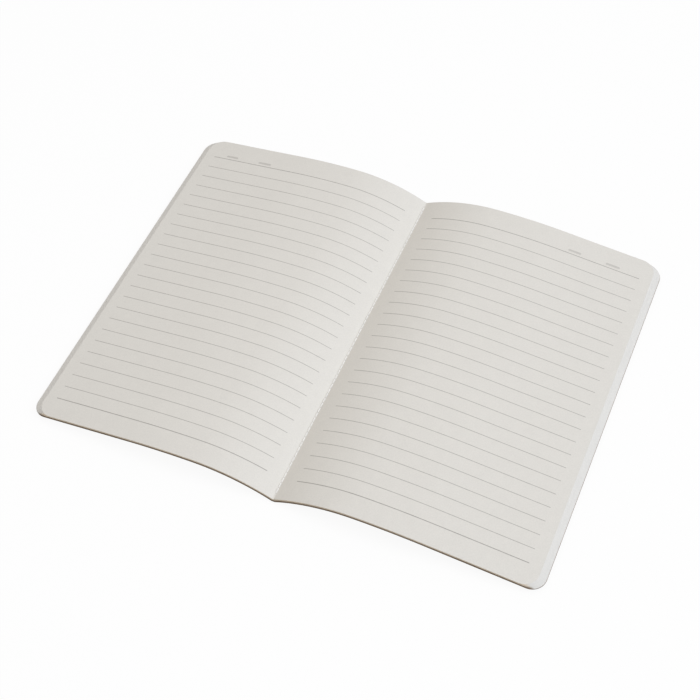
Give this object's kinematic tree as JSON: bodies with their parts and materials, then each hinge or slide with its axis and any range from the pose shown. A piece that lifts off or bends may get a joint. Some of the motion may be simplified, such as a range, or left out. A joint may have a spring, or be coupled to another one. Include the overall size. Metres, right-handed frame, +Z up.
{
  "type": "open notebook",
  "caption": "Thin sewn notebook lying open at its centre spread: arched page block with stepped fore-edges over a folded card cover whose halves turn back about the sewn crease.",
  "frame": {"origin": "on the table, under the middle of the fold: bottom centre of the bounding box", "axes": "+X from the left page to the right page, across the fold; +Y along the fold towards the head of the pages; +Z up from the table"},
  "size_m": [0.276, 0.209, 0.0136],
  "materials": {
    "paper": "uncoated, matte, faintly warm white",
    "kraft_card": "uncoated brown kraft, matte",
    "thread": "matte white sewing thread"
  },
  "bodies": {
    "pages": {"page_block": "paper", "cover_spine": "kraft_card", "sewing_thread": "thread"},
    "front_cover": {"front_cover": "kraft_card"},
    "back_cover": {"back_cover": "kraft_card"}
  },
  "joints": [
    {"name": "front_cover_turn", "type": "hinge", "parent": "pages", "child": "front_cover", "pos_m": [-0.00105, 0, 0.0004], "axis": [0, -1, 0], "range_deg": [0, 90]},
    {"name": "back_cover_turn", "type": "hinge", "parent": "pages", "child": "back_cover", "pos_m": [0.00105, 0, 0.0004], "axis": [0, 1, 0], "range_deg": [0, 90]}
  ]
}
